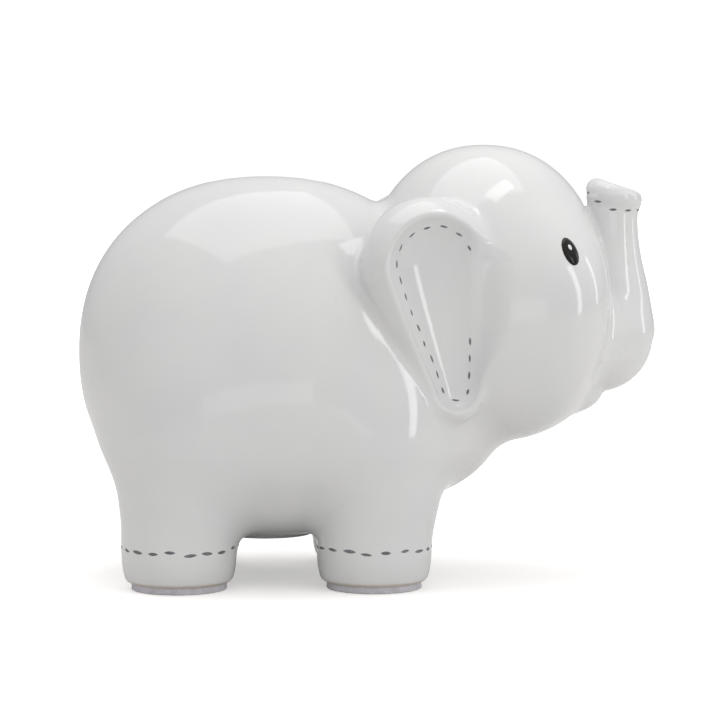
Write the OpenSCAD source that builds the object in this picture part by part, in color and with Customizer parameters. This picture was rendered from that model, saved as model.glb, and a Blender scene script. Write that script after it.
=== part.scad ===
// Coin bank in the form of a standing elephant. A hollow glazed ceramic casting has a coin slot in
// the back and a stopper hole in the belly. Ears and trunk are luted on, eyes and stitches are
// raised enamel, a rubber stopper closes the belly and the feet stand on felt pads.
// X points to the trunk, Y to the animal's left, Z up. The origin is under the middle of the bank.

/* [Body] */
// Length of the body from the rump to the chest
body_length = 127; // [106:1:155]
// Width of the body at its widest
body_width = 108; // [90:1:130]
// Height of the body, without the legs
body_height = 119; // [99:1:143]
// Height of the belly above the surface that the bank stands on
belly_height = 17.5; // [16:0.5:21]
// Thickness of the ceramic wall
wall = 5; // [4:0.1:6]

/* [Head] */
// Length of the head from the nape to the forehead
head_length = 88; // [76:1:106]
// Width of the head between the ears
head_width = 94; // [80:1:112]
// Height of the head from the jaw to the crown
head_height = 100; // [86:1:120]
// How far the middle of the head stands in front of the chest
head_lead = 12.5; // [6:0.5:18]
// How far the middle of the head stands above the middle of the body
head_rise = 20; // [12:0.5:26]

/* [Trunk] */
// Diameter of the trunk where it leaves the face
trunk_root_diameter = 38; // [32:0.5:45]
// Diameter of the trunk at its narrowest, under the lip
trunk_neck_diameter = 18; // [14:0.5:22]
// Diameter of the rounded lip at the end
trunk_lip_diameter = 20; // [18:0.5:24]
// Length of the raised trunk above its root
trunk_length = 50; // [42:0.5:58]
// How far the raised trunk leans forward, in degrees
trunk_lean = 7; // [0:0.5:12]

/* [Ears] */
// Diameter of the round upper part of an ear
ear_top_diameter = 46; // [38:0.5:54]
// Diameter of the rounded lower tip of an ear
ear_tip_diameter = 18; // [15:0.5:22]
// Height of the upper part's middle above the tip's middle
ear_drop = 42; // [34:0.5:48]
// Width of the raised rim
ear_rim_width = 9; // [7:0.5:11]
// Height of the rim above the dished middle of the ear
ear_rim_height = 9; // [6:0.5:11]

/* [Legs] */
// Distance between the middles of the front and the rear legs
leg_spacing = 65; // [62:0.5:78]
// Distance between the middles of the left and the right legs
leg_stance = 60; // [56:0.5:72]
// Diameter of the pad under each foot
pad_diameter = 32; // [26:0.5:39]
// How far a foot reaches past the edge of its pad
foot_margin = 3.3; // [2:0.1:5]
// Thickness of the pad
pad_thickness = 2.5; // [1.5:0.1:3]

/* [Coin slot] */
// Length of the slot along the back
slot_length = 38; // [30:0.5:46]
// Width of the slot
slot_width = 5; // [4.5:0.1:6]

/* [Stopper] */
// Diameter of the hole in the belly
bore_diameter = 28; // [23:0.5:34]
// How far the flange reaches past the edge of the hole
flange_lip = 2.2; // [1.5:0.1:3]
// Thickness of the flange
flange_thickness = 2.7; // [2:0.1:3.2]
// Length of the stem above the flange
stem_length = 10; // [8:0.5:12]

/* [Painted marks] */
// Width of an eye
eye_width = 6.4; // [4:0.2:8]
// Height of an eye
eye_height = 9.6; // [6:0.2:12]
// Length of one stitch mark
stitch_length = 3.8; // [2.5:0.1:5]
// Width of one stitch mark
stitch_width = 1.2; // [0.8:0.1:1.8]

/* [Hidden] */
$fn = 96;

// Clearances
stem_clearance = 0.06;
flange_gap = 0.3;
luting_depth = 1;

// How far the trunk's root stands behind the front of the head and below its middle
trunk_root_inset = 7;
trunk_root_drop = 15;
trunk_root_lead = head_length / 2 - trunk_root_inset;

// The body is placed so that the rump and the front of the trunk are equally far from the origin
trunk_reach = body_length / 2 + head_lead + trunk_root_lead + trunk_root_diameter / 2;
torso_x = (body_length / 2 - trunk_reach) / 2;
torso_z = belly_height + body_height / 2;
head_x = torso_x + body_length / 2 + head_lead;
head_z = torso_z + head_rise;

// Each rounded mass is [middle, half sizes]
jaw_size = [20, 24, 13];
jaw_inset = [24, 19];
jaw_x = head_x + head_length / 2 - jaw_inset[0];
jaw_z = head_z - head_height / 2 + jaw_inset[1];
chest_size = [42, 44, 40];
chest_drop = 17;
torso = [[torso_x, 0, torso_z], [body_length / 2, body_width / 2, body_height / 2]];
head = [[head_x, 0, head_z], [head_length / 2, head_width / 2, head_height / 2]];
jaw = [[jaw_x, 0, jaw_z], jaw_size];
chest = [[(torso_x + head_x) / 2, 0, torso_z - chest_drop], chest_size];

// The tops of the legs swell into haunches, which stand a little inside the legs
thigh_size = [28, 25, 40];
shoulder_size = [22, 24, 36];
haunch_drop = 27;
haunch_inset = 3;
thigh_lead = 1;

// Legs
leg_shift = 3;
legs_x = torso_x + leg_shift;
rear_leg_x = legs_x - leg_spacing / 2;
front_leg_x = legs_x + leg_spacing / 2;
leg_y = leg_stance / 2;
foot_radius = pad_diameter / 2 + foot_margin;
foot_round = 4.5;
sole_margin = 0.6;
ankle_height = 22;
ankle_taper = 0.7;
leg_top = 44;

// Trunk: [x, z] of its root, the height of the lip's widest point, and the roundness of its end
trunk_root = [head_x + trunk_root_lead, 0, head_z - trunk_root_drop];
lip_round = 4;
lip_height = trunk_length - lip_round;
neck_height = trunk_length - 14;
dish_depth = 1.5;

// Ears: the middle of the upper part lies ahead of the nape and inside the head's side. The tip is
// swept forward, and so is the dished middle, so that the rim is broadest at the back.
ear_inset = [17, 1.5];
ear_rise = 11;
ear_middle = [head_x - head_length / 2 + ear_inset[0], ear_inset[1] - head_width / 2, head_z + ear_rise];
ear_turn = 6;
ear_sweep = 9;
dish_shift = 4;
tip_rim_width = 4;
ear_depth = 25;
ear_back_scale = 0.72;
ear_front_rim = 0.12;
arc_steps = 16;
rim_steps = 8;

// Stopper
flange_diameter = bore_diameter + 2 * flange_lip;
boss_diameter = flange_diameter + 4;
boss_height = 12;
stem_radius = bore_diameter / 2 - stem_clearance;
rib_depth = 0.5;
rib_height = 1.6;
stopper_wall = 2.6;
grip_depth = 1.4;
grip_width = 4;

// Painted marks
eye_inset = 21;
eye_lead = head_length / 2 - eye_inset;
eye_rise = 15.6;
eye_lean = 16;
eye_proud = 0.7;
eye_sink = 0.5;
glint_size = [1.9, 2.6];
glint_rise = 1.3;
stitch_proud = 0.3;
stitch_sink = 0.3;
foot_stitch_height = 14;
foot_stitches = 19;
trunk_stitch_drop = 6;
trunk_stitches = 9;
ear_stitch_inset = 2;
ear_stitches_up = 9;
ear_stitches_along = 6;
ear_stitches_tip = 2;

// Where a rounded mass's right side lies at a distance ahead of and above its middle
function side_depth(mass, ahead, above) =
    mass[1][1] * sqrt(1 - pow(ahead / mass[1][0], 2) - pow(above / mass[1][2], 2));

// Radius of a leg at a height above its rounded sole: it narrows a little up to the ankle
function leg_radius(z) =
    let (widest = pad_thickness + foot_round)
    foot_radius - ankle_taper * min(1, max(0, (z - widest) / (ankle_height - widest)));

// Outline of a leg from its axis: a rounded foot, a slight ankle and a straight top
function leg_outline(inset) =
    let (sole = pad_thickness + inset, sole_r = pad_diameter / 2 + sole_margin, grow = foot_radius - sole_r)
    concat(
        [[0, sole]],
        [for (a = [0:15:90]) [sole_r + grow * sin(a) - inset, sole + foot_round * (1 - cos(a))]],
        [for (z = [ankle_height, leg_top]) [leg_radius(z) - inset, z]],
        [[0, leg_top]]
    );

// Radius of the trunk at a height above its root, up to the lip
function trunk_radius(z) =
    z < neck_height
    ? trunk_neck_diameter / 2
      + (trunk_root_diameter - trunk_neck_diameter) / 2 * (1 + cos(180 * z / neck_height)) / 2
    : trunk_neck_diameter / 2
      + (trunk_lip_diameter - trunk_neck_diameter) / 2
      * (1 - cos(180 * (z - neck_height) / (lip_height - neck_height))) / 2;

// A closed drop shape around two circles, [middle, radius] each, with the first one the larger
function drop_outline(top, tip) =
    let (
        way = tip[0] - top[0],
        toward = atan2(way[1], way[0]),
        touch = acos((top[1] - tip[1]) / norm(way))
    )
    concat(
        [for (i = [0:2 * arc_steps])
            let (a = toward + touch + (360 - 2 * touch) * i / (2 * arc_steps))
            top[0] + top[1] * [cos(a), sin(a)]],
        [for (i = [0:arc_steps])
            let (a = toward - touch + 2 * touch * i / arc_steps)
            tip[0] + tip[1] * [cos(a), sin(a)]]
    );

// The two circles of the ear at a share of the way from its outer edge to its dished middle
function ear_circles(share) = [
    [[dish_shift * share, 0], ear_top_diameter / 2 - ear_rim_width * share],
    [[ear_sweep + dish_shift * share, -ear_drop], ear_tip_diameter / 2 - tip_rim_width * share]
];

// Height of the rim, which runs out to nothing where the ear meets the face
function rim_factor(x) =
    let (back = -ear_top_diameter / 2, share = (x - back) / ear_top_diameter)
    max(ear_front_rim, min(1, 1.25 - share));

function ear_ring(share, height, scale_by) =
    let (circles = ear_circles(share), outline = drop_outline(circles[0], circles[1]))
    [for (p = outline) [p[0] * scale_by, p[1] * scale_by, height * (height > 0 ? rim_factor(p[0]) : 1)]];

// A solid through rings of points, closed by a flat face at each end
module ring_solid(rings) {
    n = len(rings[0]);
    last = (len(rings) - 1) * n;
    polyhedron(
        points = [for (ring = rings) each ring],
        faces = concat(
            [[for (i = [0:n - 1]) i]],
            [for (k = [0:len(rings) - 2], i = [0:n - 1])
                let (a = k * n + i, b = k * n + (i + 1) % n)
                each [[a, a + n, b], [b, a + n, b + n]]],
            [[for (i = [n - 1:-1:0]) last + i]]
        )
    );
}

// One rounded mass, made smaller all round by the inset. The poles of the chamber's masses lie fore
// and aft, where the masses run into one another, so that none is left on the chamber's roof.
module rounded(mass, inset = 0) {
    poles = inset >= wall ? 90 : 0;
    translate(mass[0]) scale(mass[1] - [inset, inset, inset]) rotate([0, poles, 0]) sphere(1);
}

// A flat lens, used for painted marks
module lens(size, proud, sink) {
    translate([0, 0, (proud - sink) / 2])
        scale([size[0] / 2, size[1] / 2, (proud + sink) / 2])
            sphere(1, $fn = 32);
}

module at_leg(front, side) {
    translate([front ? front_leg_x : rear_leg_x, side * leg_y, 0]) children();
}

module leg(front, side, inset) {
    at_leg(front, side) rotate_extrude() polygon(leg_outline(inset));
}

// The main masses of the animal that the ears and the trunk are luted to
module trunk_side_masses(inset) {
    rounded(head, inset);
    rounded(jaw, inset);
}

module ear_side_masses(inset) {
    rounded(torso, inset);
    rounded(head, inset);
    rounded(chest, inset);
}

// The whole hollow form, or with an inset the chamber inside it
module animal(inset = 0) {
    ear_side_masses(inset);
    rounded(jaw, inset);
    for (side = [-1, 1]) {
        haunch_y = side * (leg_y - haunch_inset);
        haunch_z = torso_z - haunch_drop;
        rounded([[rear_leg_x + thigh_lead, haunch_y, haunch_z], thigh_size], inset);
        rounded([[front_leg_x, haunch_y, haunch_z], shoulder_size], inset);
        for (front = [false, true]) leg(front, side, inset);
    }
}

// A slot with round ends, cut through the top of the back
module coin_slot() {
    straight = slot_length - slot_width;
    translate([torso_x, 0, torso_z + body_height / 2 - 2 * wall]) {
        for (end = [-1, 1]) translate([end * straight / 2, 0, 0]) cylinder(h = 4 * wall, d = slot_width);
        translate([-straight / 2, -slot_width / 2, 0]) cube([straight, slot_width, 4 * wall]);
    }
}

module body_shell() {
    color("gainsboro")
        difference() {
            union() {
                animal();
                translate([torso_x, 0, belly_height]) cylinder(h = boss_height, d = boss_diameter);
            }
            animal(wall);
            coin_slot();
            translate([torso_x, 0, 0]) cylinder(h = belly_height + 2 * boss_height, d = bore_diameter);
        }
}

// The trunk turns up at its root, narrows, and ends in a rounded lip with a shallow dish
module trunk_form() {
    root_r = trunk_root_diameter / 2;
    lip_r = trunk_lip_diameter / 2;
    translate(trunk_root)
        rotate([0, trunk_lean, 0])
            rotate_extrude()
                polygon(concat(
                    [for (a = [-90:10:-10]) root_r * [cos(a), sin(a)]],
                    [for (i = [0:20]) [trunk_radius(lip_height * i / 20), lip_height * i / 20]],
                    [for (a = [15:15:90]) [lip_r - lip_round * (1 - cos(a)), lip_height + lip_round * sin(a)]],
                    [[0, trunk_length - dish_depth]]
                ));
}

module trunk() {
    color("gainsboro")
        difference() {
            trunk_form();
            trunk_side_masses(luting_depth);
        }
}

module in_ear_frame() {
    translate(ear_middle) rotate([0, 0, ear_turn]) rotate([90, 0, 0]) children();
}

// A drop-shaped ear: a raised rim around a dished middle, with its back let into the head
module right_ear() {
    back = [ear_ring(0, -ear_depth, ear_back_scale), ear_ring(0, 0, 1)];
    rim = [for (i = [1:rim_steps - 1])
        ear_ring(i / rim_steps, ear_rim_height * sin(180 * i / rim_steps), 1)];
    color("gainsboro")
        difference() {
            in_ear_frame() ring_solid(concat(back, rim, [ear_ring(1, 0, 1)]));
            ear_side_masses(luting_depth);
        }
}

// The stopper: a flange with a finger grip across a shallow recess, and a hollow ribbed stem
module stopper() {
    top = belly_height - flange_gap;
    bottom = top - flange_thickness;
    stem_top = top + stem_length;
    core = stem_radius - rib_depth;
    recess = bore_diameter / 2 - stopper_wall;
    color("dimgray")
        translate([torso_x, 0, 0])
            union() {
                difference() {
                    union() {
                        translate([0, 0, bottom]) cylinder(h = flange_thickness, d = flange_diameter);
                        translate([0, 0, top]) cylinder(h = stem_length, r = core);
                        for (z = [top + rib_height, stem_top - 2 * rib_height])
                            translate([0, 0, z]) cylinder(h = rib_height, r = stem_radius);
                    }
                    translate([0, 0, top]) cylinder(h = 2 * stem_length, r = core - stopper_wall);
                    translate([0, 0, bottom - 1]) cylinder(h = 1 + grip_depth, r = recess);
                }
                translate([-recess - 0.5, -grip_width / 2, bottom])
                    cube([2 * recess + 1, grip_width, grip_depth]);
            }
}

module foot_pad(front, side) {
    color("linen") at_leg(front, side) cylinder(h = pad_thickness, d = pad_diameter);
}

// Places a mark on the right side of the head, with +Z pointing out of the surface
module on_right_of_head(ahead, above) {
    depth = side_depth(head, ahead, above);
    slope = [ahead / pow(head[1][0], 2), -depth / pow(head[1][1], 2), above / pow(head[1][2], 2)];
    out = slope / norm(slope);
    translate(head[0] + [ahead, -depth, above])
        rotate([0, 0, atan2(out[0], -out[1])])
            rotate([90 - asin(out[2]), 0, 0])
                children();
}

module right_eye() {
    color([0.02, 0.02, 0.03])
        on_right_of_head(eye_lead, eye_rise)
            rotate([0, 0, eye_lean])
                lens([eye_width, eye_height], eye_proud, eye_sink + eye_proud);
}

module right_eye_glint() {
    color("white")
        on_right_of_head(eye_lead, eye_rise)
            rotate([0, 0, eye_lean])
                translate([0, glint_rise, eye_proud])
                    lens(glint_size, 0.2, 0.6);
}

module stitch(along = stitch_length) {
    lens([along, stitch_width], stitch_proud, stitch_sink);
}

// Stitch marks around the dished middle of the ear, open where the ear meets the face
module right_ear_stitching() {
    circles = ear_circles(1);
    top = [circles[0][0], circles[0][1] - ear_stitch_inset];
    tip = [circles[1][0], circles[1][1] - ear_stitch_inset];
    way = tip[0] - top[0];
    toward = atan2(way[1], way[0]);
    touch = acos((top[1] - tip[1]) / norm(way));
    back = toward - touch;
    side_from = top[0] + top[1] * [cos(back), sin(back)];
    side_to = tip[0] + tip[1] * [cos(back), sin(back)];
    color([0.22, 0.22, 0.24])
        in_ear_frame() {
            for (i = [0:ear_stitches_up - 1]) {
                a = back - i * (back + 330) / (ear_stitches_up - 1);
                translate(top[0] + top[1] * [cos(a), sin(a)]) rotate([0, 0, a + 90]) stitch();
            }
            for (i = [1:ear_stitches_along]) {
                share = i / (ear_stitches_along + 1);
                translate(side_from * (1 - share) + side_to * share) rotate([0, 0, back + 90]) stitch();
            }
            for (i = [0:ear_stitches_tip - 1]) {
                a = back + 25 + 75 * i;
                translate(tip[0] + tip[1] * [cos(a), sin(a)]) rotate([0, 0, a + 90]) stitch(2.6);
            }
        }
}

// A place on the trunk at an angle round it and a height above its root
function trunk_place(angle, height) =
    let (x = trunk_radius(height) * cos(angle), y = trunk_radius(height) * sin(angle))
    trunk_root + [
        x * cos(trunk_lean) + height * sin(trunk_lean),
        y,
        height * cos(trunk_lean) - x * sin(trunk_lean)
    ];

// Stitches that would run into the forehead are left out
function clear_of_head(place) =
    let (out = place - head[0], room = stitch_length / 2)
    norm([for (k = [0:2]) out[k] / (head[1][k] + room)]) > 1;

module trunk_stitching() {
    height = trunk_length - trunk_stitch_drop;
    color([0.22, 0.22, 0.24])
        translate(trunk_root)
            rotate([0, trunk_lean, 0])
                for (i = [0:trunk_stitches - 1])
                    if (clear_of_head(trunk_place(360 * i / trunk_stitches, height)))
                        rotate([0, 0, 360 * i / trunk_stitches])
                            translate([trunk_radius(height), 0, height])
                                rotate([0, 90, 0]) rotate([0, 0, 90]) stitch();
}

module foot_stitching(front, side) {
    color([0.22, 0.22, 0.24])
        at_leg(front, side)
            for (i = [0:foot_stitches - 1])
                rotate([0, 0, 360 * i / foot_stitches])
                    translate([leg_radius(foot_stitch_height), 0, foot_stitch_height])
                        rotate([0, 90, 0]) rotate([0, 0, 90]) stitch();
}

body_shell();
trunk();
right_ear();
mirror([0, 1, 0]) right_ear();  // left_ear
stopper();
foot_pad(false, -1);  // rear_right_foot_pad
foot_pad(false, 1);  // rear_left_foot_pad
foot_pad(true, -1);  // front_right_foot_pad
foot_pad(true, 1);  // front_left_foot_pad
right_eye();
mirror([0, 1, 0]) right_eye();  // left_eye
right_eye_glint();
mirror([0, 1, 0]) right_eye_glint();  // left_eye_glint
right_ear_stitching();
mirror([0, 1, 0]) right_ear_stitching();  // left_ear_stitching
trunk_stitching();
foot_stitching(false, -1);  // rear_right_foot_stitching
foot_stitching(false, 1);  // rear_left_foot_stitching
foot_stitching(true, -1);  // front_right_foot_stitching
foot_stitching(true, 1);  // front_left_foot_stitching
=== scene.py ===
import math
import bpy
import numpy as np
import openvdb
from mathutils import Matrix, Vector


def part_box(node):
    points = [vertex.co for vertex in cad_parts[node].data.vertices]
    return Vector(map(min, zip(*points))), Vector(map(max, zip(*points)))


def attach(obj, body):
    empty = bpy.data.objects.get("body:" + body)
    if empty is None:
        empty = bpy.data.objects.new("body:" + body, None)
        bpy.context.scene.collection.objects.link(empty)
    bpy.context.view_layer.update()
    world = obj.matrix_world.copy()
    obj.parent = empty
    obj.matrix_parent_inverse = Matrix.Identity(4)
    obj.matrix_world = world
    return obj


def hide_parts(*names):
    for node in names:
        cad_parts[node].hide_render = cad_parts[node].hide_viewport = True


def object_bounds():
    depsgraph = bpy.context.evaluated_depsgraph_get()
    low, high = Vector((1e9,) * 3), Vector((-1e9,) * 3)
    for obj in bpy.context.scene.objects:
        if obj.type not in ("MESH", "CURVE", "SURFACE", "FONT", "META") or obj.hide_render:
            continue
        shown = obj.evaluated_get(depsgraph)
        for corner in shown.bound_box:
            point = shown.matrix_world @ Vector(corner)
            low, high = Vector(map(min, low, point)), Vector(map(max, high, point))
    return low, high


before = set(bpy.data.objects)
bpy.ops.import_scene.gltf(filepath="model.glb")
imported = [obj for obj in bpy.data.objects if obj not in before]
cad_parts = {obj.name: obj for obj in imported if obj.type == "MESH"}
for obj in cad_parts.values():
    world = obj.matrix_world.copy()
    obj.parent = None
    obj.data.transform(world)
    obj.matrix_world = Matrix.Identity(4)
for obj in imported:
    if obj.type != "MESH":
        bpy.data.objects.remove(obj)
cadBox = [list(corner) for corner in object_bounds()]
mm = 0.001
print("frame loaded")


# places taken from the frame, in millimetres
def boxOf(node):
    low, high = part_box(node)
    return np.array(low) / mm, np.array(high) / mm


def middleOf(node):
    low, high = boxOf(node)
    return (low + high) / 2


shellLow, shellHigh = boxOf("body_shell")
stopperLow, stopperHigh = boxOf("stopper")
rearPad = middleOf("rear_right_foot_pad")
frontPad = middleOf("front_right_foot_pad")
soleHeight = boxOf("rear_right_foot_pad")[1][2] - 0.2  # the feet are pressed a little into the felt
stopperX = middleOf("stopper")[0]

# the casting: each rounded mass has half sizes, how square it is in plan and from the side, and an offset from
# where it starts; blend is how widely each one runs into its neighbours
casting = {
    "wall": 4.6,
    "voxel": 0.9,
    "torso": {"half": (63.6, 56.2, 59.5), "plan": 2.25, "side": 2.2, "sag": 0.2, "height": 77},
    "head": {"half": (41.0, 46.4, 50.2), "plan": 4.2, "crown": 2.1, "crownRise": (-0.05, 0.7), "side": 2.15,
             "sag": 0.1, "ahead": 74},
    "chest": {"half": (40, 44, 38), "plan": 2.1, "side": 2.0, "offset": (40, 0, -14)},
    "breast": {"half": (24, 31, 27), "plan": 2.1, "side": 2.0, "offset": (57, 0, -17)},
    "throat": {"half": (27.5, 31.5, 22.6), "plan": 2.2, "side": 2.1, "offset": (11, 0, -24)},
    "chin": {"half": (17.5, 18, 9.8), "plan": 2.2, "side": 2.1, "offset": (23.6, 0, -32.6)},
    "thigh": {"half": (25, 25, 37), "plan": 2.0, "side": 2.1, "offset": (4.5, 3, 50)},
    "shoulder": {"half": (23, 24, 36), "plan": 2.0, "side": 2.1, "offset": (1, 3, 48)},
    "belly": {"half": (46, 40, 22), "plan": 2.4, "side": 2.8, "offset": (2, 0, 38.5)},
    "blend": {"belly": 8, "chest": 10, "breast": 9, "haunch": 8, "leg": 6.5, "groin": 8, "throat": 8,
              "chin": 1.6, "head": 6, "seat": 2.5, "recess": 1.0, "slot": 1.6, "bore": 1.0},
    "groinHeights": (24, 46),
    "legRadius": 19.2,
    "legTop": 50,
    "soleRadius": 16.7,
    "soleEdge": 1.4,
    "footCurve": 11.5,
    "slot": (38, 5),
    "boreRadius": 14,
    "recess": 17.0,
    "seatRadius": 18.2,
    "seatHalf": 8,
    "stemLength": 10,
}
torso, head = casting["torso"], casting["head"]
torsoMiddle = np.array([shellLow[0] + torso["half"][0], 0, torso["height"]])
headMiddle = np.array([torsoMiddle[0] + head["ahead"], 0, shellHigh[2] - head["half"][2]])
level = (1, 1, 0)  # keeps a place but drops it to the ground
starts = {"torso": torsoMiddle, "chest": torsoMiddle, "breast": torsoMiddle, "belly": torsoMiddle * level,
          "head": headMiddle, "throat": headMiddle, "chin": headMiddle,
          "thigh": rearPad * level, "shoulder": frontPad * level}
for name, start in starts.items():
    casting[name]["middle"] = start + casting[name].get("offset", (0, 0, 0))

# the trunk: a rounded root, then a column whose rows are height, how far forward and radius, then the lip
trunkTube = {
    "root": ((79, 0, 81.6), 18.9),
    "column": [(72, 76.5, 19.0), (82, 79, 18.9), (90, 82.3, 15.4), (99, 83.7, 12.5),
               (108, 84, 10.1), (117, 84, 8.8), (126, 84, 8.6), (134, 84, 8.6)],
    "columnSteps": 400,
    "taper": (110, 1.06),
    "top": 129,
    "lip": {"middle": (84.4, 0, 130.0), "ring": 6.2, "round": 3.5, "dish": 1.0, "tilt": math.radians(19)},
    "rootBlend": 3.0,
    "lipBlend": 2.5,
    "dishBlend": 1.2,
    "lowBlend": 12.0,
    "highBlend": 2.2,
    "blendHeights": (76.0, 102.0),
    "mouthBlend": 3.0,
    "mouthHeights": (63.0, 75.0),
}

# an ear: a pad shaped as a flattened drop, with a bowl of the same kind cut into it; top and tip hold the place
# and radius of the drop's two ends, thick and lift its thickness and how far out it stands at each
ear = {
    "middle": headMiddle + (-21.5, -39.0, 11),
    "pad": {"turn": 16, "lean": 3, "top": (0.2, -0.2, 23.0), "tip": (8.0, -41.4, 10.6),
            "thick": (16.8, 8.2), "lift": (0, 0.4)},
    "bowl": {"turn": 8, "lean": 0, "top": (2.6, 0.6, 18.6), "tip": (9.4, -39.6, 8.0),
             "thick": (13.6, 6.4), "lift": (16.6, 8.4)},
    "taper": 1.15,
    "padBlend": 3.0,
    "bowlBlend": 1.8,
    "cheekBlend": 9.0,
    "cheekAhead": (6, 18),
    "cheekTop": (12, 2),
    "cheekFoot": (-34, -22),
}


def between(value, start, end):
    # how far a value has come from start to end, held from 0 to 1
    return np.clip((value - start) / (end - start), 0, 1)


def smoothUnion(a, b, k):
    # two shapes run together over a width of about k
    h = np.clip(0.5 + 0.5 * (b - a) / k, 0, 1)
    return b + (a - b) * h - k * h * (1 - h)


def smoothCut(a, b, k):
    return -smoothUnion(-a, b, k)


def roundedMass(x, y, z, form):
    px, py, pz = x - form["middle"][0], y - form["middle"][1], z - form["middle"][2]
    a, b, c = form["half"]
    b = b * (1 - form.get("sag", 0) * pz / c)
    square = form["plan"]
    if "crown" in form:  # the plan rounds off towards the crown
        rise = between(pz / c, *form["crownRise"])
        square = square + (form["crown"] - square) * rise * rise * (3 - 2 * rise)
    plan = (np.abs(px / a) ** square + np.abs(py / b) ** square) ** (form["side"] / square)
    k = np.maximum((plan + np.abs(pz / c) ** form["side"]) ** (1 / form["side"]), 0.05)
    return np.sqrt(px * px + py * py + pz * pz) * (1 - 1 / k)


def roundedDisc(ring, z, radius, bottom, top, edge):
    # an upright disc or column with rounded edges; ring is the distance from its axis
    qr, qz = ring - radius + edge, np.abs(z - (bottom + top) / 2) - (top - bottom) / 2 + edge
    return np.minimum(np.maximum(qr, qz), 0) + np.sqrt(np.maximum(qr, 0) ** 2 + np.maximum(qz, 0) ** 2) - edge


def legColumn(x, y, z, pad):
    # a round leg that draws in to its sole
    curve = np.clip((soleHeight + casting["footCurve"] - z) / casting["footCurve"], 0, 1)
    narrowing = casting["legRadius"] - casting["soleRadius"]
    radius = casting["legRadius"] - narrowing * (1 - np.sqrt(1 - curve**2))
    ring = np.sqrt((x - pad[0]) ** 2 + (y - pad[1]) ** 2)
    return roundedDisc(ring, z, radius, soleHeight, casting["legTop"], casting["soleEdge"])


def smoothLine(points, count):
    # a smooth curve through every point
    points = np.array(points, float)
    ends = np.vstack([2 * points[0] - points[1], points, 2 * points[-1] - points[-2]])
    out = []
    for place in np.linspace(0, len(points) - 1 - 1e-6, count):
        i, t = int(place), place % 1
        a, b, c, d = ends[i:i + 4]
        curve, twist = 2 * a - 5 * b + 4 * c - d, 3 * b - a - 3 * c + d
        out.append(0.5 * (2 * b + (c - a) * t + curve * t**2 + twist * t**3))
    return np.array(out)


trunkColumn = smoothLine(trunkTube["column"], trunkTube["columnSteps"])


def trunkField(x, y, z):
    (rx, ry, rz), rootRadius = trunkTube["root"]
    root = np.sqrt((x - rx) ** 2 + (y - ry) ** 2 + (z - rz) ** 2) - rootRadius
    middle = np.interp(z, trunkColumn[:, 0], trunkColumn[:, 1])
    radius = np.interp(z, trunkColumn[:, 0], trunkColumn[:, 2])
    taperTop, taperSlope = trunkTube["taper"]
    column = (np.sqrt((x - middle) ** 2 + y**2) - radius) / np.where(z < taperTop, taperSlope, 1.0)
    column = smoothCut(column, z - rz, trunkTube["rootBlend"])
    column = np.maximum(column, z - trunkTube["top"])
    tube = smoothUnion(root, column, trunkTube["rootBlend"])
    lip = trunkTube["lip"]
    cx, _, cz = lip["middle"]
    sine, cosine = math.sin(lip["tilt"]), math.cos(lip["tilt"])
    high = (x - cx) * sine + (z - cz) * cosine
    along = (x - cx) * cosine - (z - cz) * sine
    across = np.sqrt(along**2 + y**2)
    ring = np.sqrt((across - lip["ring"]) ** 2 + high**2) - lip["round"]
    dish = np.maximum(across - lip["ring"], np.abs(high + lip["dish"]) - lip["round"])
    return smoothUnion(smoothUnion(tube, ring, trunkTube["lipBlend"]), dish, trunkTube["dishBlend"])


def dropField(x, y, z, form, straightUp=False):
    # a flattened drop in a plane turned from the side of the head; straightUp keeps a cut's width outwards
    turn, lean = math.radians(form["turn"]), math.radians(form["lean"])
    ct, st, cl, sl = math.cos(turn), math.sin(turn), math.cos(lean), math.sin(lean)
    outward = np.array([st * cl, -ct * cl, sl])
    forward = np.array([ct, st, 0.0])
    upward = np.cross(outward, forward)
    px, py, pz = (x - ear["middle"][0], y - ear["middle"][1], z - ear["middle"][2])
    u, v, w = (px * a[0] + py * a[1] + pz * a[2] for a in (forward, upward, outward))
    (ax, ay, ar), (bx, by, br) = form["top"], form["tip"]
    dx, dy = bx - ax, by - ay
    t = np.clip(((u - ax) * dx + (v - ay) * dy) / (dx * dx + dy * dy), 0, 1)
    w = w - form["lift"][0] - (form["lift"][1] - form["lift"][0]) * t
    if straightUp:
        w = np.minimum(w, 0)
    wide = ar + (br - ar) * t ** ear["taper"]
    thick = form["thick"][0] + (form["thick"][1] - form["thick"][0]) * t
    flat = wide / thick
    qu, qv, qw = u - ax - t * dx, v - ay - t * dy, w * flat
    far = np.sqrt(qu**2 + qv**2 + qw**2) + 1e-4  # the small terms keep its middle from dividing by nothing
    return (far - wide) / np.sqrt((qu**2 + qv**2 + (flat * qw) ** 2) / far**2 + 1e-6)


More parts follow.
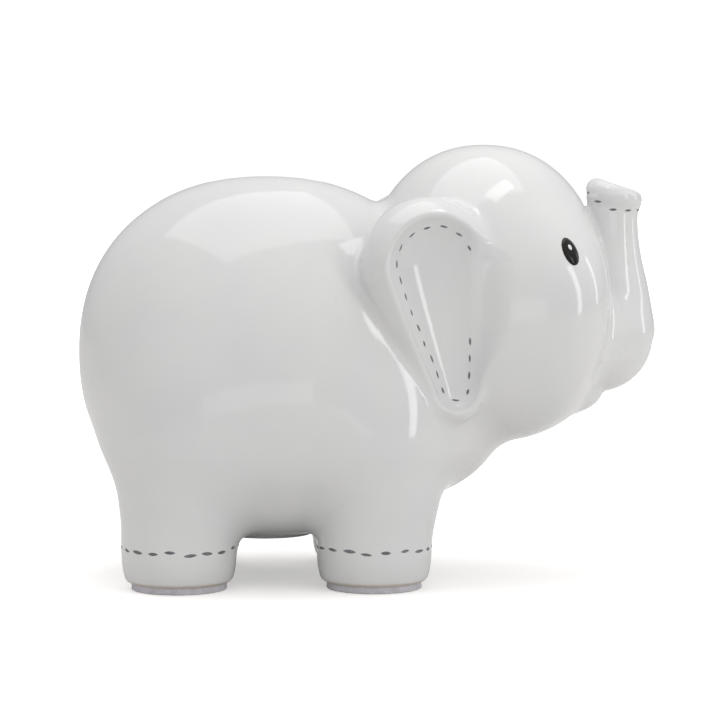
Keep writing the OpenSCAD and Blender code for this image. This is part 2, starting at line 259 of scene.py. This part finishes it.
def skinField(x, y, z):
    # the outside of the whole casting, made for its right side and the same on the left
    y = -np.abs(y)
    blend = casting["blend"]
    f = roundedMass(x, y, z, casting["torso"])
    for name in ("belly", "chest", "breast"):
        f = smoothUnion(f, roundedMass(x, y, z, casting[name]), blend[name])
    for pad, haunch in ((rearPad, "thigh"), (frontPad, "shoulder")):
        leg = smoothUnion(legColumn(x, y, z, pad), roundedMass(x, y, z, casting[haunch]), blend["haunch"])
        f = smoothUnion(f, leg, blend["leg"] + blend["groin"] * between(z, *casting["groinHeights"]))
    head = roundedMass(x, y, z, casting["head"])
    head = smoothUnion(head, roundedMass(x, y, z, casting["throat"]), blend["throat"])
    share = between(z, *trunkTube["blendHeights"])
    share = share * share * (3 - 2 * share)
    width = trunkTube["lowBlend"] + (trunkTube["highBlend"] - trunkTube["lowBlend"]) * share
    tight = trunkTube["mouthBlend"]  # the trunk stands clear of the mouth under it
    width = tight + (width - tight) * between(z, *trunkTube["mouthHeights"])
    head = smoothUnion(head, trunkField(x, y, z), width)
    head = smoothUnion(head, roundedMass(x, y, z, casting["chin"]), blend["chin"])
    f = smoothUnion(f, head, blend["head"])
    f = smoothUnion(f, dropField(x, y, z, ear["pad"]), ear["padBlend"])
    # the bowl has a crisp lip at the back and top, and runs out softly into the cheek in front
    ahead, above = x - ear["middle"][0], z - ear["middle"][2]
    front = between(ahead, *ear["cheekAhead"]) * between(above, *ear["cheekTop"])
    front = front * between(above, *ear["cheekFoot"])
    width = ear["bowlBlend"] + (ear["cheekBlend"] - ear["bowlBlend"]) * front
    return smoothCut(f, dropField(x, y, z, ear["bowl"], True), width)


def shellField(x, y, z):
    # the casting as fired: hollow, with the coin slot, and a seat, recess and bore for the stopper
    skin, blend = skinField(x, y, z), casting["blend"]
    ring = np.sqrt((x - stopperX) ** 2 + y**2)
    seatBottom, seatHalf = stopperHigh[2] - casting["stemLength"], casting["seatHalf"]
    seat = np.maximum(ring - casting["seatRadius"], np.abs(z - (seatBottom + seatHalf)) - seatHalf)
    long, wide = casting["slot"]
    slot = np.maximum(np.abs(x - torsoMiddle[0]) - (long - wide) / 2, 0)
    slot = np.sqrt(slot**2 + y**2) - wide / 2
    slot = np.maximum(slot, torsoMiddle[2] - z)
    bore = np.maximum(ring - casting["boreRadius"], z - torsoMiddle[2])
    f = smoothUnion(skin, seat, blend["seat"])
    f = smoothCut(f, np.maximum(ring - casting["recess"], z - seatBottom), blend["recess"])
    f = np.maximum(f, -skin - casting["wall"])
    f = smoothCut(f, slot, blend["slot"])
    return smoothCut(f, bore, blend["bore"])


def gradient(field, p, step=0.05):
    g = np.empty_like(p)
    for axis in range(3):
        d = np.zeros(3)
        d[axis] = step
        a, b = p + d, p - d
        g[:, axis] = (field(a[:, 0], a[:, 1], a[:, 2]) - field(b[:, 0], b[:, 1], b[:, 2])) / (2 * step)
    return g


def pullToSurface(field, p, rounds=2):
    # each round steps down the slope to where the field is nought
    for _ in range(rounds):
        g = gradient(field, p)
        f = field(p[:, 0], p[:, 1], p[:, 2])
        p = p - g * (f / np.maximum((g**2).sum(1), 0.05))[:, None]
    return p


def meshObject(name, points, faces, normals=None):
    mesh = bpy.data.meshes.new(name)
    mesh.from_pydata([tuple(v) for v in points * mm], [], [tuple(f) for f in faces])
    mesh.update()
    mesh.polygons.foreach_set("use_smooth", [True] * len(mesh.polygons))
    if normals is not None:
        mesh.normals_split_custom_set_from_vertices([tuple(n) for n in normals])
    obj = bpy.data.objects.new(name, mesh)
    bpy.context.scene.collection.objects.link(obj)
    return obj


def surfaceMesh(name, field, low, high, step):
    # the right half is sampled and turned over to the left, then every corner is pulled onto the true surface
    xs = np.arange(low[0], high[0], step, dtype=np.float32)
    ys = (np.arange(-2, high[1] / step + 2, dtype=np.float32) + 0.5) * step
    zs = np.arange(low[2], high[2], step, dtype=np.float32)
    half = field(xs[:, None, None], ys[None, :, None], zs[None, None, :]).astype(np.float32)
    whole = np.concatenate([half[:, :1:-1], half[:, 2:]], axis=1)
    grid = openvdb.FloatGrid()
    grid.copyFromArray(np.clip(whole, -3 * step, 3 * step).astype(np.float32))
    points, faces = grid.convertToQuads(0.0)
    points = pullToSurface(field, points.astype(np.float64) * step + (xs[0], -ys[-1], zs[0]))
    normals = gradient(field, points, 0.02)
    normals /= np.linalg.norm(normals, axis=1)[:, None]
    return meshObject(name, points, faces, normals)


voxel = casting["voxel"]
castLow = np.array(cadBox[0]) / mm - 2 - voxel * 2  # it stands a little past the frame's box
castHigh = np.array(cadBox[1]) / mm + voxel * 2
bank = surfaceMesh("ceramicBank", shellField, castLow, castHigh, voxel)
print("casting made:", len(bank.data.polygons), "faces")
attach(bank, "bank")
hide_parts("body_shell", "trunk", "right_ear", "left_ear")


def newGroup(name, inputs, outputs):
    group = bpy.data.node_groups.new(name, "ShaderNodeTree")
    for title, kind, value in inputs:
        socket = group.interface.new_socket(name=title, in_out="INPUT", socket_type="NodeSocket" + kind)
        socket.default_value = value
    for title, kind in outputs:
        group.interface.new_socket(name=title, in_out="OUTPUT", socket_type="NodeSocket" + kind)
    return group, group.nodes.new("NodeGroupInput"), group.nodes.new("NodeGroupOutput")


def addNode(tree, kind, links=(), **settings):
    # links are (input, output socket); a setting is a node property, or a value for the socket of that name
    node = tree.nodes.new("ShaderNode" + kind)
    for key, value in settings.items():
        if hasattr(node, key):
            setattr(node, key, value)
        else:
            node.inputs[key.replace("_", " ")].default_value = value
    for socket, source in links:
        tree.links.new(source, node.inputs[socket])
    return node


def grain(tree, size, **settings):
    # noise that stays with the object; size is the socket that holds its patches' size in millimetres
    place = addNode(tree, "TexCoord")
    perMetre = addNode(tree, "Math", [(1, size)], operation="DIVIDE")
    perMetre.inputs[0].default_value = 1000
    links = [("Vector", place.outputs["Object"]), ("Scale", perMetre.outputs[0])]
    return addNode(tree, "TexNoise", links, **settings).outputs["Fac"]


def blended(tree, share, first, second):
    # the first colour where share is 0 and the second where it is 1; second is a socket or a colour
    mix = addNode(tree, "Mix", [("Factor", share), (6, first)], data_type="RGBA")
    if isinstance(second, tuple):
        mix.inputs[7].default_value = (*second, 1)
    else:
        tree.links.new(second, mix.inputs[7])
    return mix.outputs[2]


def mottleGroup():
    # colour that drifts softly between two tints, with fine specks; Patch and Speck are sizes in millimetres
    white = (1, 1, 1, 1)
    tree, given, result = newGroup("mottle", [
        ("Tint A", "Color", white), ("Tint B", "Color", white), ("Speck Tint", "Color", white),
        ("Patch", "Float", 20.0), ("Speck", "Float", 1.0), ("Speck Cover", "Float", 0.1),
    ], [("Color", "Color"), ("Mask", "Float")])
    drift = grain(tree, given.outputs["Patch"], Detail=3.0, Roughness=0.55)
    spread = addNode(tree, "MapRange", [("Value", drift)], From_Min=0.35, From_Max=0.65).outputs[0]
    tint = blended(tree, spread, given.outputs["Tint A"], given.outputs["Tint B"])
    dots = grain(tree, given.outputs["Speck"], Detail=1.0)
    edge = addNode(tree, "Math", [(1, given.outputs["Speck Cover"])], operation="SUBTRACT")
    edge.inputs[0].default_value = 0.82
    few = addNode(tree, "MapRange", [("Value", dots), ("From Min", edge.outputs[0])], From_Max=0.86)
    speckled = blended(tree, few.outputs[0], tint, given.outputs["Speck Tint"])
    tree.links.new(speckled, result.inputs["Color"])
    tree.links.new(spread, result.inputs["Mask"])
    return tree


def reliefGroup():
    # a height in millimetres: a slow swell and a fine tooth, each with its own size and depth
    tree, given, result = newGroup("relief", [
        ("Swell", "Float", 14.0), ("Swell Depth", "Float", 0.02),
        ("Tooth", "Float", 0.5), ("Tooth Depth", "Float", 0.0),
    ], [("Height", "Float")])
    heights = []
    for size in ("Swell", "Tooth"):
        noise = grain(tree, given.outputs[size], Detail=2.0, Roughness=0.4)
        depth = given.outputs[size + " Depth"]
        heights.append(addNode(tree, "Math", [(0, noise), (1, depth)], operation="MULTIPLY").outputs[0])
    both = addNode(tree, "Math", [(0, heights[0]), (1, heights[1])], operation="ADD")
    tree.links.new(both.outputs[0], result.inputs["Height"])
    return tree


mottle, relief = mottleGroup(), reliefGroup()


def finish(name, look):
    # one finish: mottled colour, a roughness that drifts with it, and relief
    mat = bpy.data.materials.new(name)
    mat.use_nodes = True
    tree = mat.node_tree
    shader = tree.nodes["Principled BSDF"]
    colour = addNode(tree, "Group", node_tree=mottle)
    for title, key in (("Tint A", "tintA"), ("Tint B", "tintB"), ("Speck Tint", "speckTint")):
        colour.inputs[title].default_value = (*look[key], 1)
    for title, key in (("Patch", "patch"), ("Speck", "speck"), ("Speck Cover", "speckCover")):
        colour.inputs[title].default_value = look[key]
    smooth, dull = look["rough"]
    rough = addNode(tree, "MapRange", [("Value", colour.outputs["Mask"])], To_Min=smooth, To_Max=dull)
    height = addNode(tree, "Group", node_tree=relief)
    for title, value in zip(("Swell", "Swell Depth", "Tooth", "Tooth Depth"), look["relief"]):
        height.inputs[title].default_value = value
    bump = addNode(tree, "Bump", [("Height", height.outputs["Height"])], Distance=mm)
    tree.links.new(colour.outputs["Color"], shader.inputs["Base Color"])
    tree.links.new(rough.outputs[0], shader.inputs["Roughness"])
    tree.links.new(bump.outputs["Normal"], shader.inputs["Normal"])
    shader.inputs["IOR"].default_value = look.get("ior", 1.5)
    shader.inputs["Specular IOR Level"].default_value = look.get("shine", 0.5)
    return mat, shader, colour.outputs["Color"], rough.outputs[0]


# patch and speck are sizes in millimetres; relief is the swell's size and depth, then the tooth's
finishes = {
    "glaze": {
        "tintA": (0.745, 0.745, 0.74), "tintB": (0.715, 0.72, 0.725), "patch": 34,
        "speckTint": (0.64, 0.63, 0.61), "speck": 2.2, "speckCover": 0.03,
        "rough": (0.07, 0.10), "relief": (13, 0.035, 2.4, 0.0012), "ior": 1.55,
        "bisque": (0.62, 0.57, 0.51), "bisqueRough": 0.8, "bisqueRise": 0.9,
        "bisqueEdge": 0.35, "bisqueWaver": 0.8, "waverScale": 160.0,
    },
    "enamelGrey": {
        "tintA": (0.12, 0.12, 0.13), "tintB": (0.19, 0.19, 0.20), "patch": 2.2,
        "speckTint": (0.30, 0.30, 0.31), "speck": 0.6, "speckCover": 0.25,
        "rough": (0.28, 0.45), "relief": (1.2, 0.03, 0.3, 0.01),
    },
    "enamelBlack": {
        "tintA": (0.004, 0.004, 0.005), "tintB": (0.011, 0.007, 0.006), "patch": 3,
        "speckTint": (0.03, 0.02, 0.018), "speck": 0.7, "speckCover": 0.1,
        "rough": (0.12, 0.2), "relief": (2.5, 0.02, 0.4, 0.004), "shine": 0.3,
    },
    "enamelWhite": {
        "tintA": (0.86, 0.86, 0.86), "tintB": (0.80, 0.80, 0.81), "patch": 1.4,
        "speckTint": (0.7, 0.7, 0.7), "speck": 0.5, "speckCover": 0.1,
        "rough": (0.2, 0.3), "relief": (1.5, 0.02, 0.3, 0.004),
    },
    "stopperRubber": {
        "tintA": (0.46, 0.475, 0.49), "tintB": (0.40, 0.415, 0.435), "patch": 9,
        "speckTint": (0.56, 0.57, 0.58), "speck": 0.8, "speckCover": 0.12,
        "rough": (0.5, 0.62), "relief": (5, 0.03, 0.5, 0.02),
    },
    "padFelt": {
        "tintA": (0.68, 0.66, 0.70), "tintB": (0.58, 0.57, 0.60), "patch": 3.5,
        "speckTint": (0.78, 0.76, 0.79), "speck": 0.9, "speckCover": 0.28,
        "rough": (0.9, 0.97), "relief": (1.6, 0.10, 0.35, 0.10), "shine": 0.1,
    },
}


def glazeFinish():
    # the glaze stops just above each sole, where the fired clay shows bare
    look = finishes["glaze"]
    mat, shader, colour, rough = finish("glaze", look)
    tree = mat.node_tree
    place = addNode(tree, "TexCoord")
    parted = addNode(tree, "SeparateXYZ", [(0, place.outputs["Object"])])
    waver = addNode(tree, "TexNoise", [("Vector", place.outputs["Object"])], Scale=look["waverScale"])
    upward = parted.outputs["Z"]
    line = addNode(tree, "Math", [(0, waver.outputs["Fac"]), (2, upward)], operation="MULTIPLY_ADD")
    line.inputs[1].default_value = -look["bisqueWaver"] * mm
    rise = soleHeight + look["bisqueRise"]
    bare = addNode(tree, "MapRange", [("Value", line.outputs[0])], From_Min=rise * mm,
                   From_Max=(rise - look["bisqueEdge"]) * mm)
    tint = blended(tree, bare.outputs[0], colour, look["bisque"])
    tree.links.new(tint, shader.inputs["Base Color"])
    sockets = [("Value", bare.outputs[0]), ("To Min", rough)]
    matt = addNode(tree, "MapRange", sockets, To_Max=look["bisqueRough"])
    tree.links.new(matt.outputs[0], shader.inputs["Roughness"])
    return mat


materials = {}
for name, look in finishes.items():
    materials[name] = glazeFinish() if name == "glaze" else finish(name, look)[0]
bank.data.materials.append(materials["glaze"])
print("finishes made")

# painted enamel marks, each a thin domed patch that follows the glaze under it; a dash is its half length and
# half width, a stray is how much its direction and its place wander
marking = {
    "rings": 4,
    "segments": 18,
    "sunk": 0.25,
    "bed": 0.02,
    "dashRise": 0.13,
    "dashPoint": 0.5,
    "longSpread": (0.8, 1.22),
    "wideSpread": (0.85, 1.15),
    "earPath": {"top": (20.2, 108.5, 12.6), "tip": (28.0, 67.6, 4.2), "from": 18, "frontTo": 84.5},
    "earCount": 20,
    "earDash": (1.35, 0.42),
    "earStray": (0.12, 0.22),
    "earEnds": 1.5,
    "footCount": 19,
    "footDash": (2.1, 0.6),
    "footStray": (0.03, 0.3),
    "footPoint": 0.55,
    "footHeight": 14.2,
    "footWander": 0.06,
    "trunkCount": 10,
    "trunkDash": (1.6, 0.42),
    "trunkStray": (0.04, 0.15),
    "trunkReach": 9.2,
    "trunkStart": 0.35,
    "trunkHeight": (124.8, 6.2),
    "eyeAhead": 0.8,
    "eyeLean": math.radians(4),
    "eyeHalf": (3.0, 5.3),
    "eyeRise": 0.5,
    "glintUp": 1.4,
    "glintAhead": 0.1,
    "glintHalf": (0.85, 1.35),
    "glintRise": 0.75,
}
paints = {"enamel_grey": "enamelGrey", "enamel_black": "enamelBlack", "enamel_white": "enamelWhite"}
drawn = np.random.default_rng(41)


def paintMarks(name, node, slot, marks, pointed, rise, side=1):
    # marks are (place, direction, half length, half width); pointed narrows a mark's ends, and side -1 turns it
    # over to the left; the patch lies on the glaze with its rim sunk into it
    rings, segs = marking["rings"], marking["segments"]
    turn = np.arange(segs) * 2 * math.pi / segs
    points, share = [], []
    for place, way, long, wide in marks:
        place, way = np.array(place, float), np.array(way, float)
        n = gradient(skinField, place[None])[0]
        n /= np.linalg.norm(n)
        way -= n * way.dot(n)
        way /= np.linalg.norm(way)
        other = np.cross(n, way)
        points.append(place)
        share.append(0.0)
        for k in range(1, rings + 1):
            r = k / rings
            for a in turn:
                c, d = math.cos(a), math.sin(a)
                taper = 1 - pointed * abs(c) ** 3
                points.append(place + way * (c * r * long) + other * (d * r * wide * taper))
                share.append(r)
    points, share = np.array(points), np.array(share)
    points = pullToSurface(skinField, points, 3)
    n = gradient(skinField, points)
    n /= np.linalg.norm(n, axis=1)[:, None]
    domed = rise * np.sqrt(np.maximum(1 - share**2, 0)) - marking["bed"]
    top = points + n * domed[:, None]
    under = points - n * marking["sunk"]
    faces, verts = [], np.concatenate([top, under]) * (1, side, 1)
    each = 1 + rings * segs
    for m in range(len(marks)):
        for layer in (0, 1):
            base = m * each + layer * len(top)
            for i in range(segs):
                j = (i + 1) % segs
                fan = (base, base + 1 + i, base + 1 + j)
                faces.append(fan if not layer else (fan[0], fan[2], fan[1]))
                for k in range(rings - 1):
                    a, b = base + 1 + k * segs, base + 1 + (k + 1) * segs
                    quad = (a + i, b + i, b + j, a + j)
                    faces.append(quad if not layer else quad[::-1])
        rim = m * each + 1 + (rings - 1) * segs
        low = rim + len(top)
        for i in range(segs):
            j = (i + 1) % segs
            faces.append((rim + i, low + i, low + j, rim + j))
    if side < 0:
        faces = [f[::-1] for f in faces]
    obj = meshObject(name, verts, faces)
    obj.data.materials.append(materials[paints[slot]])
    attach(obj, "bank")
    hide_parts(node)


def unevenDash(place, way, size, stray):
    # a brush never lands quite where it was meant to
    way = np.array(way, float)
    other = np.array([-way[2], way[1], way[0]]) if abs(way[1]) < 0.5 else np.array([0, 0, 1.0])
    place = np.array(place, float) + other * drawn.normal(0, stray[1])
    way = way + other * drawn.normal(0, stray[0])
    long = size[0] * drawn.uniform(*marking["longSpread"])
    wide = size[1] * drawn.uniform(*marking["wideSpread"])
    return place, way, long, wide


def sidePoint(x, z):
    # where the right side of the casting lies, found from outside inwards
    ys = -np.arange(70, 0, -0.25)
    inside = skinField(np.full_like(ys, x), ys, np.full_like(ys, z)) < 0
    return np.array([x, ys[int(np.argmax(inside))], z])


def earDashes():
    # up the front of the ear's top circle, over it, down the back and round the tip, then up the front again
    path = marking["earPath"]
    (ax, az, ar), (bx, bz, br) = path["top"], path["tip"]
    toward = math.atan2(bz - az, bx - ax)
    touch = math.acos((ar - br) / math.hypot(bx - ax, bz - az))
    leave = toward - touch + 2 * math.pi
    over = np.linspace(math.radians(path["from"]), leave, 60)
    under = np.linspace(leave, 2 * math.pi + 0.1, 30)
    steps = [(ax + ar * math.cos(a), az + ar * math.sin(a)) for a in over]
    steps += [(bx + br * math.cos(a), bz + br * math.sin(a)) for a in under]
    steps += [(bx + br + 0.2, path["frontTo"])]
    steps = np.array(steps)
    gone = np.concatenate([[0], np.cumsum(np.linalg.norm(np.diff(steps, axis=0), axis=1))])
    dashes = []
    for far in np.linspace(marking["earEnds"], gone[-1] - marking["earEnds"], marking["earCount"]):
        x, z = np.interp(far, gone, steps[:, 0]), np.interp(far, gone, steps[:, 1])
        x2, z2 = np.interp(far + 0.5, gone, steps[:, 0]), np.interp(far + 0.5, gone, steps[:, 1])
        way = np.array([x2 - x, 0, z2 - z]) / math.hypot(x2 - x, z2 - z)
        place, way, long, wide = unevenDash((x, 0, z), way, marking["earDash"], marking["earStray"])
        dashes.append((sidePoint(place[0], place[2]), way, long, wide))
    return dashes


def footDashes(pad):
    dashes = []
    start, count, wander = drawn.uniform(0, 1), marking["footCount"], marking["footWander"]
    reach = casting["legRadius"]
    for i in range(count):
        a = (i + start + drawn.normal(0, wander)) * 2 * math.pi / count
        at = np.array([pad[0] + reach * math.cos(a), pad[1] + reach * math.sin(a), marking["footHeight"]])
        way = (-math.sin(a), math.cos(a), drawn.normal(0, wander))
        dashes.append(unevenDash(at, way, marking["footDash"], marking["footStray"]))
    return dashes


def trunkDashes():
    # the ring of dashes climbs on the side towards the forehead
    dashes = []
    low, climb = marking["trunkHeight"]
    cx, reach, count = trunkTube["column"][-1][1], marking["trunkReach"], marking["trunkCount"]
    for i in range(count):
        a = (i + marking["trunkStart"]) * 2 * math.pi / count
        z = low + climb * ((1 - math.cos(a)) / 2) ** 4
        at = np.array([cx + reach * math.cos(a), reach * math.sin(a), z])
        way = (-math.sin(a), math.cos(a), 0)
        dashes.append(unevenDash(at, way, marking["trunkDash"], marking["trunkStray"]))
    return dashes


eyeAt = middleOf("right_eye")
eyeAt = sidePoint(eyeAt[0] + marking["eyeAhead"], eyeAt[2])
eyeWay = (-math.sin(marking["eyeLean"]), 0, math.cos(marking["eyeLean"]))
glintAt = eyeAt + np.array(eyeWay) * marking["glintUp"] + (marking["glintAhead"], 0, 0)
dashRise, dashPoint = marking["dashRise"], marking["dashPoint"]
for side, hand in ((1, "right"), (-1, "left")):
    paintMarks(hand + "EarStitching", hand + "_ear_stitching", "enamel_grey", earDashes(), dashPoint,
               dashRise, side)
    for end, pad in (("rear", rearPad), ("front", frontPad)):
        paintMarks(hand + end.title() + "FootStitching", end + "_" + hand + "_foot_stitching", "enamel_grey",
                   footDashes(pad), marking["footPoint"], dashRise, side)
    wide, high = marking["eyeHalf"]
    eyeMark = [(eyeAt, eyeWay, high, wide)]
    paintMarks(hand + "Eye", hand + "_eye", "enamel_black", eyeMark, 0, marking["eyeRise"], side)
    wide, high = marking["glintHalf"]
    glintMark = [(glintAt, eyeWay, high, wide)]
    paintMarks(hand + "EyeGlint", hand + "_eye_glint", "enamel_white", glintMark, 0, marking["glintRise"], side)
paintMarks("trunkStitching", "trunk_stitching", "enamel_grey", trunkDashes(), dashPoint, dashRise)
print("enamel painted")

# the belly stopper: a flange with a finger grip across its recess, and a hollow ribbed stem
plug = {
    "flangeRadius": 16.2,
    "flangeDepth": 2.7,
    "flangeEdge": 1.1,
    "coreRadius": 13.44,
    "coreEdge": 0.7,
    "coreSunk": 1.5,
    "ribRadius": 13.9,
    "ribs": (2.4, 7.6),
    "ribRound": 0.8,
    "wall": 2.6,
    "recessRadius": 11.4,
    "recessDepth": 1.4,
    "gripWidth": 4.0,
    "gripMiddle": 1.3,
    "gripHalf": 1.0,
    "step": 0.4,
}
stopperBottom, stopperTop = stopperLow[2], stopperHigh[2]
flangeTop = stopperBottom + plug["flangeDepth"]


def stopperField(x, y, z):
    ring = np.sqrt((x - stopperX) ** 2 + y**2)
    core, recess = plug["coreRadius"], plug["recessRadius"]
    stem = roundedDisc(ring, z, core, flangeTop - plug["coreSunk"], stopperTop, plug["coreEdge"])
    f = roundedDisc(ring, z, plug["flangeRadius"], stopperBottom, flangeTop, plug["flangeEdge"])
    f = smoothUnion(f, stem, 0.5)
    for rise in plug["ribs"]:
        rib = np.sqrt((ring - plug["ribRadius"] + plug["ribRound"]) ** 2 + (z - flangeTop - rise) ** 2)
        f = smoothUnion(f, rib - plug["ribRound"], 0.3)
    hollow = roundedDisc(ring, z, core - plug["wall"], flangeTop, stopperTop + 4, 1.2)
    f = smoothCut(f, hollow, 0.5)
    dish = roundedDisc(ring, z, recess, stopperBottom - 4, stopperBottom + plug["recessDepth"], 0.8)
    f = smoothCut(f, dish, 0.5)
    across, along = np.abs(y) - plug["gripWidth"] / 2, np.abs(x - stopperX) - recess - 0.8
    upright = np.abs(z - stopperBottom - plug["gripMiddle"]) - plug["gripHalf"]
    return smoothUnion(f, np.maximum(np.maximum(across, along), upright), 0.8)


plugMargin = 1.2
plugLow = (stopperLow[0] - plugMargin, 0, stopperLow[2] - plugMargin)
stopper = surfaceMesh("bellyStopper", stopperField, plugLow, stopperHigh + plugMargin, plug["step"])
stopper.data.materials.append(materials["stopperRubber"])
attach(stopper, "stopper")
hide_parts("stopper")
print("stopper made")

# felt pads: cut discs with a soft, slightly uneven edge, pressed flat above and below
felt = {"radius": 15.95, "edge": 0.45, "belly": 0.08, "stray": 0.20, "segments": 120, "rings": 7}


def feltPad(node):
    low, high = boxOf(node)
    middle, segs, edge, radius = (low + high) / 2, felt["segments"], felt["edge"], felt["radius"]
    profile = [(radius * k / felt["rings"], low[2]) for k in range(1, felt["rings"])]
    for a in np.linspace(0, math.pi / 2, 4):
        profile.append((radius - edge * (1 - math.sin(a)), low[2] + edge * (1 - math.cos(a))))
    profile += [(radius - felt["belly"], middle[2])]
    profile += [(r, low[2] + high[2] - z) for r, z in profile[-2::-1]]
    stray = drawn.normal(0, 1, (len(profile), segs))
    for _ in range(3):  # neighbouring fibres stand together
        stray = (stray + np.roll(stray, 1, 1) + np.roll(stray, -1, 1)) / 3
    turn = np.arange(segs) * 2 * math.pi / segs
    points = [(middle[0], middle[1], low[2])]
    for k, (r, z) in enumerate(profile):
        far = r - felt["stray"] * np.abs(stray[k]) * (r > radius - 2 * edge)
        for reach, a in zip(far, turn):
            points.append((middle[0] + reach * math.cos(a), middle[1] + reach * math.sin(a), z))
    points.append((middle[0], middle[1], high[2]))
    last, faces = len(points) - 1, []
    for i in range(segs):
        j = (i + 1) % segs
        faces.append((0, 1 + j, 1 + i))
        for k in range(len(profile) - 1):
            a, b = 1 + k * segs, 1 + (k + 1) * segs
            faces.append((a + i, a + j, b + j, b + i))
        end = 1 + (len(profile) - 1) * segs
        faces.append((end + i, end + j, last))
    words = node.replace("_foot_pad", "").split("_")
    obj = meshObject(words[0] + words[1].title() + "FootPad", np.array(points), faces)
    obj.data.materials.append(materials["padFelt"])
    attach(obj, "bank")
    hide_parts(node)


for end in ("rear", "front"):
    for hand in ("right", "left"):
        feltPad(end + "_" + hand + "_foot_pad")
print("felt pads made")

# stage: a pale floor with a painted glow that grows the further it lies from the middle, so that it fades into the
# background, while the weaker glow near the middle leaves painted shade on the floor under the object; only the
# camera sees the glow, as on a sweep lit from behind
stage = {"half": 4, "colour": (0.80, 0.79, 0.78), "rough": 0.9, "glowColour": (1, 0.992, 0.985),
         "glowReach": (0.04, 0.8), "glow": (0.40, 0.95)}
floor = bpy.data.objects.new("floor", bpy.data.meshes.new("floor"))
corners = [(stage["half"] * i, stage["half"] * j, 0) for i, j in ((-1, -1), (1, -1), (1, 1), (-1, 1))]
floor.data.from_pydata(corners, [], [(0, 1, 2, 3)])
bpy.context.scene.collection.objects.link(floor)
paleFloor = bpy.data.materials.new("paleFloor")
paleFloor.use_nodes = True
floorTree = paleFloor.node_tree
floorShader = floorTree.nodes["Principled BSDF"]
floorShader.inputs["Base Color"].default_value = (*stage["colour"], 1)
floorShader.inputs["Roughness"].default_value = stage["rough"]
floorShader.inputs["Emission Color"].default_value = (*stage["glowColour"], 1)
floorShader.inputs["Specular IOR Level"].default_value = 0.0
where = addNode(floorTree, "NewGeometry")
reach = addNode(floorTree, "VectorMath", [(0, where.outputs["Position"])], operation="LENGTH")
# painted light: the glow is weakest near the middle, leaving painted shade under the object, and strongest far out
fade = addNode(floorTree, "MapRange", [("Value", reach.outputs["Value"])])
for socket, value in zip(("From Min", "From Max", "To Min", "To Max"), (*stage["glowReach"], *stage["glow"])):
    fade.inputs[socket].default_value = value
seen = addNode(floorTree, "LightPath").outputs["Is Camera Ray"]
glow = addNode(floorTree, "Math", [(0, seen), (1, fade.outputs[0])], operation="MULTIPLY")
floorTree.links.new(glow.outputs[0], floorShader.inputs["Emission Strength"])
floor.data.materials.append(paleFloor)

# the camera stands a little above the back and looks slightly down; field is how many thousandths of the
# frame's width a millimetre takes at the object's middle
camera = {
    "distance": 1.10,
    "height": 0.163,
    "aimHeight": 0.0737,
    "azimuth": math.radians(-2.5),
    "field": 4.068,
    "shift": -0.009,
    "sensor": 36,
}
cam = bpy.data.cameras.new("camera")
camObj = bpy.data.objects.new("camera", cam)
bpy.context.scene.collection.objects.link(camObj)
far, azimuth = camera["distance"], camera["azimuth"]
drop = math.atan2(camera["height"] - camera["aimHeight"], far)
camObj.location = (far * math.sin(azimuth), -far * math.cos(azimuth), camera["height"])
camObj.rotation_euler = (math.pi / 2 - drop, 0, azimuth)
cam.sensor_width = camera["sensor"]
cam.lens = camera["sensor"] * camera["field"] * far / math.cos(drop)
cam.shift_x = camera["shift"]
bpy.context.scene.camera = camObj

# the surround's colours, each with its height from 0 straight down to 1 straight up; backdrop is what the
# camera sees behind the object
surround = {
    "colours": ((0.42, (0.54, 0.542, 0.548)), (0.53, (0.43, 0.438, 0.452)), (0.85, (0.84, 0.836, 0.825))),
    "backdrop": 1.05,
}

world = bpy.data.worlds.new("studio")
bpy.context.scene.world = world
world.use_nodes = True
sky = world.node_tree
sky.nodes.clear()
split = addNode(sky, "SeparateXYZ", [(0, addNode(sky, "TexCoord").outputs["Generated"])])
height = addNode(sky, "Math", [(0, split.outputs["Z"])], operation="MULTIPLY_ADD")
height.inputs[1].default_value = 0.5
height.inputs[2].default_value = 0.5
ramp = addNode(sky, "ValToRGB", [(0, height.outputs[0])])
stops = ramp.color_ramp.elements
for spot, colour in surround["colours"]:
    stops.new(spot).color = (*colour, 1)
stops.remove(stops[0])  # the two stops that a new ramp comes with
stops.remove(stops[-1])
soft = addNode(sky, "Background", [(0, ramp.outputs[0])])
plain = addNode(sky, "Background", Strength=surround["backdrop"])
plain.inputs["Color"].default_value = (1, 1, 1, 1)
seen = addNode(sky, "LightPath").outputs["Is Camera Ray"]
pick = addNode(sky, "MixShader", [(0, seen), (1, soft.outputs[0]), (2, plain.outputs[0])])
addNode(sky, "OutputWorld", [(0, pick.outputs[0])])

# radiance is how bright a lamp's face looks
light = {
    "top": {"size": (0.8, 0.7), "place": (-0.06, 0.05, 0.9), "aim": (-0.03, 0, 0.10), "radiance": 1.2},
    "crown": {"size": (0.046, 0.02), "place": (0.06, -0.043, 0.225), "aim": (0.042, -0.03, 0.13), "radiance": 2.6},
    "window": {"size": (0.17, 0.8), "place": (0.95, -0.72, 0.43), "aim": (0.06, 0, 0.12), "radiance": 4.2},
    "doorway": {"size": (0.12, 0.60), "place": (1.05, 0.16, 0.38), "aim": (0.07, 0, 0.1), "radiance": 3.2},
    "front": {"size": (0.9, 0.5), "place": (0.0, -1.5, 0.06), "aim": (0, 0, 0.05), "radiance": 0.75},
}
for name, values in light.items():
    lamp = bpy.data.lights.new(name + "Light", "AREA")
    lamp.shape = "RECTANGLE"
    lamp.size, lamp.size_y = values["size"]
    lamp.energy = values["radiance"] * math.pi * lamp.size * lamp.size_y
    holder = bpy.data.objects.new(name + "Light", lamp)
    holder.location = values["place"]
    aim = Vector(values["aim"]) - Vector(values["place"])
    holder.rotation_euler = aim.to_track_quat("-Z", "Y").to_euler()
    bpy.context.scene.collection.objects.link(holder)
bpy.context.scene.view_settings.view_transform = "Standard"
print("stage, camera and lights placed")
